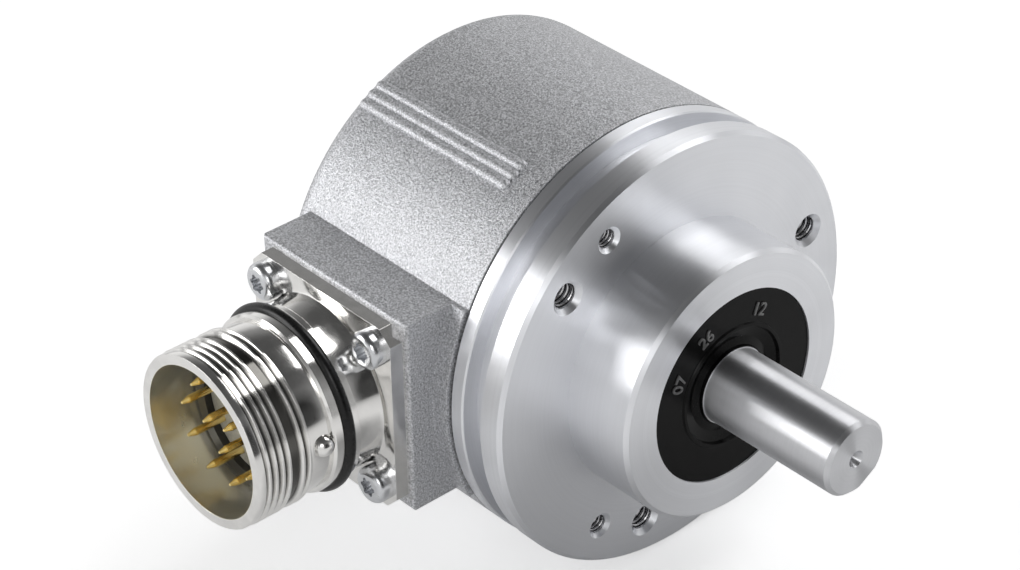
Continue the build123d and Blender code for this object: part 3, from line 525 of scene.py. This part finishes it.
seal_black = moulded_finish(
    "seal_rubber", (0.003, 0.003, 0.003), (0.006, 0.006, 0.006), 0.22, 0.9 * mm, 0.010 * mm, shine=0.10
)
# The figures are the seal's own rubber, but their base colour is a lighter grey: a painted glint on their
# raised edges.
figure_glint_grey = moulded_finish(
    "figure_rubber_glint", (0.07, 0.07, 0.07), (0.13, 0.13, 0.13), 0.16, 0.4 * mm, 0.010 * mm, shine=0.9
)
ring_black = moulded_finish(
    "ring_rubber", (0.004, 0.004, 0.004), (0.009, 0.009, 0.009), 0.30, 0.4 * mm, 0.008 * mm, shine=0.3
)
insulator = moulded_finish(
    "insulator_black", (0.010, 0.010, 0.010), (0.022, 0.021, 0.020), 0.42, 0.2 * mm, 0.012 * mm
)
stone = moulded_finish("insulator_stone", (0.36, 0.35, 0.31), (0.46, 0.45, 0.40), 0.5, 0.25 * mm, 0.012 * mm)
chip_black = moulded_finish(
    "chip_plastic", (0.016, 0.016, 0.018), (0.034, 0.034, 0.037), 0.5, 0.1 * mm, 0.008 * mm
)
wire_red = moulded_finish("wire_sleeve", (0.35, 0.03, 0.02), (0.50, 0.06, 0.04), 0.38, 0.5 * mm, 0.006 * mm)
lamp_clear = moulded_finish(
    "lamp_resin", (0.42, 0.06, 0.05), (0.62, 0.14, 0.12), 0.08, 0.8 * mm, 0.003 * mm, coat=0.5
)
print("made the rubbers and plastics")

# %% [markdown]
# A circuit board is green lacquer over woven glass. The weave shows faintly through the lacquer as two
# crossed sets of threads, half a millimetre apart.

# %% Board lacquer and glass
weave = 0.5 * mm
wave_unit = 0.05
weave_depth = 0.006 * mm
haze_scale = 900.0
haze_gloss = (0.01, 0.09)


def board_finish():
    """Green lacquer: two crossed wave textures for the glass weave under it."""
    material, shader = new_finish("board_lacquer", (0.012, 0.11, 0.045), roughness=0.3, coat_weight=0.4)
    place = object_place(material)
    threads = []
    for direction in ("Y", "Z"):
        wave = add(material, "TexWave", Scale=wave_unit / weave, Distortion=0.4)
        wave.bands_direction = direction
        wire(material, place, wave.inputs["Vector"])
        threads.append(wave.outputs["Fac"])
    cloth = calculate(material, "MULTIPLY", *threads)
    tint(material, shader, cloth, (0.008, 0.080, 0.032), (0.020, 0.145, 0.065))
    relief(material, shader, cloth, weave_depth, 0.5, fine_edge_r)
    return material


def glass_finish():
    """Optical glass with a faint green tint and a breath of haze from noise."""
    material, shader = new_finish("optical_glass", (0.86, 0.95, 0.93), roughness=0.03, ior=1.52)
    shader.inputs["Transmission Weight"].default_value = 0.95
    haze = noise(material, object_place(material), haze_scale, 3.0)
    wire(material, spread(material, haze, 0.4, 0.7, *haze_gloss), shader.inputs["Roughness"])
    tint(material, shader, haze, (0.80, 0.93, 0.90), (0.90, 0.97, 0.96))
    return material


board_green = board_finish()
disc_glass = glass_finish()
print("made", board_green.name, disc_glass.name)

# %% [markdown]
# Each piece of the construction now gets the finish that the real one has.

# %% Finishes on the construction
bearing_ends = ("front", "rear")
finish_of = {
    casting: ["housing"],
    turned: ["flange"],
    ground: ["shaft"],
    hub_metal: ["disc_hub", "cover_pillars"],
    race_metal: [
        f"{end}_bearing_{part}" for end in bearing_ends for part in ("outer_ring", "inner_ring", "balls")
    ],
    spring_metal: [f"{end}_bearing_{part}" for end in bearing_ends for part in ("cage", "shields")]
    + ["seal_case", "garter_spring", "preload_spring", "bore_retaining_ring", "shaft_retaining_ring"],
    nickel: ["connector_shell"],
    zinc: ["connector_screws", "cover_screws", "board_screws", "clamp_screw", "clamp_washer"],
    gold: ["contact_pins"],
    brass: ["board_standoffs", "board_spacers"],
    seal_black: ["shaft_seal"],
    ring_black: ["connector_oring", "housing_oring", "plate_seal"],
    insulator: ["insert_body", "wire_header", "lamp_bracket"],
    stone: ["insert_core"],
    chip_black: ["board_packages", "sensor_chip"],
    wire_red: ["contact_wires"],
    lamp_clear: ["lamp"],
    board_green: ["main_board", "sensor_board"],
    disc_glass: ["code_disc", "reticle"],
}
for finish, names in finish_of.items():
    for name in names:
        nodes[name].data.materials.clear()
        nodes[name].data.materials.append(finish)
bare = set(nodes) - {name for names in finish_of.values() for name in names}
print("finished", len(nodes) - len(bare), "nodes; bare:", sorted(bare))

# %% [markdown]
# A tapped hole shows its thread. A thread is one closed profile, here a triangle with a narrow flat on top,
# carried along a helix and flattened to nothing at both ends, as a tap leaves it. Its foot lies a little
# inside the hole's wall, so that no seam shows. Its finish reads an attribute that the mesh carries, and
# paints shade with it: black in the roots, bright on the crests.

# %% Finish of a cut thread
# The black in the thread roots is painted shade.
root_painted_shade = (0.012, 0.012, 0.013)
crest_bright = (0.90, 0.90, 0.92)
shade_fade_range = (0.45, 0.95)
wear_scale = 2500.0
wear_gloss = (0.18, 0.34)


def thread_finish():
    """Cut thread: the mesh's own attribute, 1 on the crests and 0 at the roots, runs from painted black shade
    to bright.
    """
    material, shader = new_finish("cut_thread", (0.8, 0.8, 0.82), metallic=1.0, roughness=0.25)
    crest = add(material, "Attribute")
    crest.attribute_name = "crest"
    worn = noise(material, object_place(material), wear_scale, 2.0)
    wire(material, spread(material, worn, *most_noise, *wear_gloss), shader.inputs["Roughness"])
    # Painted shade: the base colour darkens to black towards the roots.
    unshaded_share = spread(material, crest.outputs["Fac"], *shade_fade_range, 0, 1)
    tint(material, shader, unshaded_share, root_painted_shade, crest_bright)
    return material


cut_metal = thread_finish()
print("made", cut_metal.name)

# %% Threads in the tapped holes
hole_count = 3
thread_bottom_x = -7.0 * mm
profile_shares = np.array([0.45, 0.06, -0.06, -0.45])


def helix_thread(centre, wall_r, height, pitch, x_start, x_end, per_turn=28, foot=0.04 * mm):
    """Points and faces of a thread on the inside of a bore along X.

    At the angle t the ridge sits at x = x_start - pitch * t / (2 pi), and the four corners of its profile lie
    profile_shares of a pitch to either side. The outer two are its feet, at the radius wall_r + foot. The
    inner two are its crest and lie (height + foot) * e nearer the axis, where the ease e goes from 0 to 1
    over the first half turn and back to 0 over the last one.
    """
    turns = (x_start - x_end) / pitch
    t = np.linspace(0, 2 * np.pi * turns, int(turns * per_turn) + 1)
    ease = np.clip(np.minimum(t, t[-1] - t) / np.pi, 0, 1)
    along = x_start - pitch * t / (2 * np.pi)
    x = along[:, None] + pitch * profile_shares
    crest = wall_r + foot - (height + foot) * ease
    feet = np.full_like(t, wall_r + foot)
    radius = np.stack([feet, crest, crest, feet], axis=1)
    points = np.stack([
        x, centre[0] + radius * np.sin(t)[:, None], centre[1] + radius * np.cos(t)[:, None]
    ], axis=-1)
    faces = grid_faces(len(t), 4, close_columns=True).tolist()
    last = (len(t) - 1) * 4
    faces += [[0, 1, 2, 3], [last + 3, last + 2, last + 1, last]]
    return points.reshape(-1, 3), faces


def hole_threads(name, wall_r, height, pitch, first_angle, x_start, x_end):
    """One thread in each hole of a set, spaced evenly from the first one's angle, from +Z towards +Y."""
    points, faces = [], []
    for k in range(hole_count):
        a = np.radians(first_angle + 360 / hole_count * k)
        centre = (fixing_circle_r * np.sin(a), fixing_circle_r * np.cos(a))
        more_points, more_faces = helix_thread(centre, wall_r, height, pitch, x_start, x_end)
        start = sum(len(p) for p in points)
        points.append(more_points)
        faces += [[index + start for index in face] for face in more_faces]
    piece = mesh_piece(
        name, np.concatenate(points), faces, "housing_body", cut_metal, smooth=False
    )
    crest = piece.data.attributes.new("crest", "FLOAT", "POINT")
    crest.data.foreach_set("value", np.tile([0.0, 1.0, 1.0, 0.0], len(piece.data.vertices) // 4))


hole_threads("m4_threads", 1.65 * mm, 0.26 * mm, 0.7 * mm, 72, -0.9 * mm, thread_bottom_x)
hole_threads("m3_threads", 1.25 * mm, 0.19 * mm, 0.5 * mm, -28, -0.8 * mm, thread_bottom_x)

# %% [markdown]
# Three ribs run along the housing. The mould leaves them rounded, and their crowns catch the light as bright
# lines. Each crown is half an ellipse across the rib, carried along it, and it narrows to a round end, where
# the half width follows a circle. It sits over the construction's plain rib and covers it.

# %% Rounded crowns on the ribs
housing_r = 29.0 * mm
rib_angles = (26.3, 29.3, 32.3)
rib_ends = (-40.05 * mm, -12.75 * mm)
rib_half = 0.78 * mm
rib_height = 0.55 * mm
rib_foot = 0.25 * mm
least_ease = 0.02


def rib_crown(angle):
    """Points of one crown, rows along X and a closed profile in the columns.

    Across the rib the place is rib_half * e * cos(s) and the height is rib_height * e * sin(s), for s from 0
    to pi. The foot closes below the housing's skin. The scale e is 1, but nearer to an end than rib_half, at
    the distance d, it is sqrt(1 - (1 - d / rib_half)^2), and never under least_ease.
    """
    low, high = rib_ends
    turn = np.linspace(0, np.pi / 2, 9)
    cap = rib_half * (1 - np.cos(turn))
    straight = np.linspace(low + rib_half, high - rib_half, 24)[1:-1]
    x = np.concatenate([low + cap, straight, (high - cap)[::-1]])
    inside = np.clip(np.minimum(x - low, high - x) / rib_half, 0, 1)
    ease = np.maximum(np.sqrt(1 - (1 - inside) ** 2), least_ease)[:, None]
    s = np.linspace(0, np.pi, 15)[None, :]
    across = np.concatenate([rib_half * ease * np.cos(s), -rib_half * ease, rib_half * ease], axis=1)
    foot = np.full_like(ease, -rib_foot)
    height = np.concatenate([rib_height * ease * np.sin(s), foot, foot], axis=1)
    a = np.radians(angle)
    out, side = np.array([0, -np.sin(a), np.cos(a)]), np.array([0, np.cos(a), np.sin(a)])
    points = (housing_r + height)[..., None] * out + across[..., None] * side
    points[..., 0] += x[:, None]
    return points


rib_points = [rib_crown(angle) for angle in rib_angles]
rows, columns = rib_points[0].shape[:2]
rib_faces = []
for k in range(len(rib_points)):
    start = k * rows * columns
    rib_faces += grid_faces(rows, columns, close_columns=True, start=start).tolist()
    rib_faces += [list(range(start + columns - 1, start - 1, -1))]
    rib_faces += [list(range(start + (rows - 1) * columns, start + rows * columns))]
mesh_piece(
    "rib_crowns", np.concatenate([p.reshape(-1, 3) for p in rib_points]), rib_faces,
    "housing_body", casting,
)

# %% [markdown]
# The seal carries plain figures that its mould leaves raised. A text becomes a mesh first. Then its width is
# bent round the shaft's axis and its height points outwards, so that the figures stand on the seal's face.

# %% Figures on the seal
figure_height = 1.7 * mm
figure_rise = 0.16 * mm
figure_circle_r = 10.2 * mm
figure_sunk = 0.2 * mm
figure_edge_r = 0.04 * mm
capital_share = 0.7
figure_angles = {"12": 24, "26": -28, "07": -64}


def seal_figures(name, words, angle):
    """Raised figures on the seal's face, centred on an angle from +Z towards +Y, read from outside."""
    curve = bpy.data.curves.new(name + "_outline", "FONT")
    curve.body = words
    curve.size = figure_height / capital_share
    curve.extrude = figure_rise
    curve.bevel_depth = figure_edge_r
    curve.resolution_u = 4
    curve.align_x = "CENTER"
    text = bpy.data.objects.new(name + "_outline", curve)
    mesh = bpy.data.meshes.new_from_object(text)
    bpy.data.objects.remove(text)
    flat = np.empty(len(mesh.vertices) * 3)
    mesh.vertices.foreach_get("co", flat)
    flat = flat.reshape(-1, 3)
    turn = np.radians(angle) + flat[:, 0] / figure_circle_r
    radius = figure_circle_r - figure_height / 2 + flat[:, 1]
    x = seal_face_x - figure_sunk + flat[:, 2]
    bent = np.stack([x, radius * np.sin(turn), radius * np.cos(turn)], axis=1)
    mesh.vertices.foreach_set("co", bent.ravel())
    # The figures' lighter grey than the seal is a painted glint.
    add_piece(name, mesh, "housing_body", figure_glint_grey)


for k, (words, angle) in enumerate(figure_angles.items()):
    seal_figures(f"seal_figures_{k + 1}", words, angle)

# %% [markdown]
# The code disc carries its tracks as dark bars on glass: an outer ring of fine bars that the sensor counts,
# and an inner ring with one reference mark. The bars are flat quads a hair above the glass.

# %% Tracks on the code disc
bar_count = 256
count_track = (13.0 * mm, 15.4 * mm)
mark_track = (11.2 * mm, 12.4 * mm)
mark_share = 0.012
track_x = disc_face_x - 0.01 * mm


def disc_bars(count, share, r_in, r_out):
    """Corners of the bars, as angles and radii: each spans this share of its pitch, between two radii."""
    start = 2 * np.pi * np.arange(count) / count
    width = 2 * np.pi / count * share
    angle = np.stack([start, start, start + width, start + width], axis=1)
    radius = np.broadcast_to([r_in, r_out, r_out, r_in], angle.shape)
    return angle, radius


track_sets = [disc_bars(bar_count, 0.5, *count_track), disc_bars(1, mark_share, *mark_track)]
angle, radius = (np.concatenate(arrays) for arrays in zip(*track_sets))
bars = np.stack([np.full_like(angle, track_x), radius * np.sin(angle), radius * np.cos(angle)], axis=-1)
quads = np.arange(bars.size // 3).reshape(-1, 4)[:, ::-1]
mesh_piece("disc_tracks", bars, quads, "rotor", chip_black, smooth=False)

# %% [markdown]
# The camera stands where the photographer's stood. Its place was fitted to the flange, shaft and connector
# with their real sizes held, and is given by two angles, a roll, a distance and a small sideways offset.

# %% Camera
view_turn = np.radians(48.877)
view_rise = np.radians(33.928)
view_roll = np.radians(-1.0915)
view_distance = 384.526 * mm
view_across = 20.353 * mm
view_up = -8.079 * mm
focal_pixels = 3140.4
image_width = 1020
sensor_width = 36.0


def portrait_camera():
    """Camera at the fitted place: back points from the object to the lens, side and up span the picture."""
    back = np.array([
        np.sin(view_turn) * np.cos(view_rise), -np.cos(view_turn) * np.cos(view_rise), np.sin(view_rise)
    ])
    side = np.array([np.cos(view_turn), np.sin(view_turn), 0])
    up = np.cross(side, -back)
    turn, rise = np.cos(view_roll), np.sin(view_roll)
    side, up = turn * side + rise * up, turn * up - rise * side
    place = view_distance * back - view_across * side - view_up * up
    data = bpy.data.cameras.new("portrait")
    data.sensor_width = sensor_width
    data.lens = focal_pixels * sensor_width / image_width
    data.clip_start = 10 * mm
    camera = bpy.data.objects.new("portrait", data)
    matrix = np.eye(4)
    matrix[:3] = np.stack([side, up, back, place], axis=1)
    camera.matrix_world = Matrix(matrix.tolist())
    bpy.context.scene.collection.objects.link(camera)
    bpy.context.scene.camera = camera
    return camera


camera = portrait_camera()
camera_place = [round(v, 3) for v in camera.matrix_world.translation]
print("camera lens", round(camera.data.lens, 1), "mm, at", camera_place)

# %% [markdown]
# A pale floor carries the object and keeps its shadow. The paper glows a little where the camera looks at it,
# so that it comes out as white as the room. Under the flange the floor's colour is painted dark where only
# reflections see it, a painted shade that gives the metal's lower edges their contrast.

# %% Floor
floor_z = cad_box[0][2]
floor_half = 1.5
fibre_scale = 900.0
paper_glow = 0.45
mirrored_glow = 0.15
# A painted shade: a dark patch in the floor's colour that only reflections see.
shade_patch_centre = (0.014, -0.004)
shade_patch_edge = (0.016, 0.048)
shade_patch_share = 0.50
shade_patch_black = (0.02, 0.02, 0.02)


def pale_floor():
    """A large flat sheet whose paper-like surface is white with faint mottling.

    Only reflections see the dark patch, a painted shade: its share falls from shade_patch_share to 0 between
    the two distances shade_patch_edge.
    """
    material, shader = new_finish("studio_paper", (0.86, 0.86, 0.86), roughness=0.9)
    fibre = noise(material, object_place(material), fibre_scale, 3.0)
    tint(material, shader, fibre, (0.84, 0.84, 0.84), (0.88, 0.88, 0.88))
    shader.inputs["Emission Color"].default_value = (1, 1, 1, 1)
    path = add(material, "LightPath")
    mirrored = path.outputs["Is Glossy Ray"]
    seen = calculate(material, "MAXIMUM", path.outputs["Is Camera Ray"], path.outputs["Is Transmission Ray"])
    glow = calculate(
        material, "MAXIMUM", spread(material, seen, 0, 1, 0, paper_glow),
        spread(material, mirrored, 0, 1, 0, mirrored_glow),
    )
    reach = add(material, "VectorMath", "DISTANCE")
    reach.inputs[1].default_value = (*shade_patch_centre, floor_z)
    wire(material, object_place(material), reach.inputs[0])
    # Painted shade: the floor's colour darkens near the object, only where reflections see it.
    shade_patch = spread(material, reach.outputs["Value"], *shade_patch_edge, shade_patch_share, 0)
    mirrored_shade = calculate(material, "MULTIPLY", shade_patch, mirrored)
    mix_in(material, mirrored_shade, shade_patch_black, shader)
    unshaded = calculate(material, "SUBTRACT", 1.0, mirrored_shade)
    wire(material, calculate(material, "MULTIPLY", glow, unshaded), shader.inputs["Emission Strength"])
    corner = floor_half * np.array([[-1, -1], [1, -1], [1, 1], [-1, 1]])
    points = np.column_stack([corner, np.full(4, floor_z)])
    mesh = bpy.data.meshes.new("studio_floor")
    mesh.from_pydata(points.tolist(), [], [[0, 1, 2, 3]])
    mesh.materials.append(material)
    floor = bpy.data.objects.new("studio_floor", mesh)
    bpy.context.scene.collection.objects.link(floor)


pale_floor()
print("floor at", round(floor_z / mm, 2), "mm")

# %% [markdown]
# The room is white where the camera sees it, straight or through glass, and it lights the object with a dim
# grey. Metal needs more to mirror than that: its reflections see a dark ceiling, a bright horizon and a black
# flag in front of the flange.

# %% Room
white_room = (1.0, 1.0, 1.0, 1)
room_light = (0.24, 0.24, 0.24, 1)
room_ends = (0.75, 0.08)
room_levels = [(0.46, 0.55), (0.52, 0.95), (0.64, 0.80), (0.74, 0.30), (0.88, 0.10)]
flag_direction = (0.985, 0.05, 0.16)
flag_reach = (0.80, 0.95)
flag_shade = 0.06


def white_world():
    """The room's colour, chosen by the kind of ray that meets it.

    What a reflection sees follows the height of its direction, from 0 straight down to 1 straight up: its
    level is room_ends at the two ends and passes through the pairs of height and level in room_levels. Near
    the flag's direction it falls to flag_shade of that.
    """
    world = bpy.data.worlds.new("studio_room")
    world.use_nodes = True
    bpy.context.scene.world = world
    path = add(world, "LightPath")
    direction = add(world, "TexCoord").outputs["Generated"]
    height = add(world, "ValToRGB")
    stops = height.color_ramp.elements
    for k, level in enumerate(room_ends):
        stops[k].color = (level, level, level, 1)
    for position, level in room_levels:
        stops.new(position).color = (level, level, level, 1)
    wire(world, spread(world, part_of(world, direction, "Z"), -1, 1, 0, 1), height.inputs["Fac"])
    toward = add(world, "VectorMath", "DOT_PRODUCT")
    toward.inputs[1].default_value = Vector(flag_direction).normalized()
    wire(world, direction, toward.inputs[0])
    shaded = add(world, "VectorMath", "SCALE")
    wire(world, height.outputs["Color"], shaded.inputs[0])
    wire(world, spread(world, toward.outputs["Value"], *flag_reach, 1.0, flag_shade), shaded.inputs["Scale"])
    reflected = mixed(world, path.outputs["Is Glossy Ray"], room_light, shaded.outputs["Vector"])
    seen = calculate(world, "MAXIMUM", path.outputs["Is Camera Ray"], path.outputs["Is Transmission Ray"])
    shown = mixed(world, seen, reflected, white_room)
    wire(world, shown, world.node_tree.nodes["Background"].inputs["Color"])
    return world


print("made", white_world().name)

# %% [markdown]
# Three large soft lamps light the object itself: the key from above on the right, a second one from the
# connector's side and a weak one from the front. Large lamps close by give the metal broad, soft highlights.

# %% Lamps
middle = (-0.01, 0, 0)


def soft_lamp(name, place, target, size, power):
    """A square area lamp that looks from its place at the target."""
    data = bpy.data.lights.new(name, "AREA")
    data.size = size
    data.energy = power
    lamp = bpy.data.objects.new(name, data)
    lamp.location = Vector(place)
    lamp.rotation_mode = "QUATERNION"
    lamp.rotation_quaternion = (Vector(target) - Vector(place)).to_track_quat("-Z", "Y")
    bpy.context.scene.collection.objects.link(lamp)
    print(name, "of", power, "W at", place)


soft_lamp("key_lamp", (0.02, 0.30, 0.42), middle, 0.30, 1.2)
soft_lamp("side_lamp", (-0.34, -0.40, 0.16), middle, 0.28, 1.1)
soft_lamp("front_lamp", (0.32, -0.40, 0.30), middle, 0.22, 0.5)
bpy.context.scene.view_settings.view_transform = "Standard"
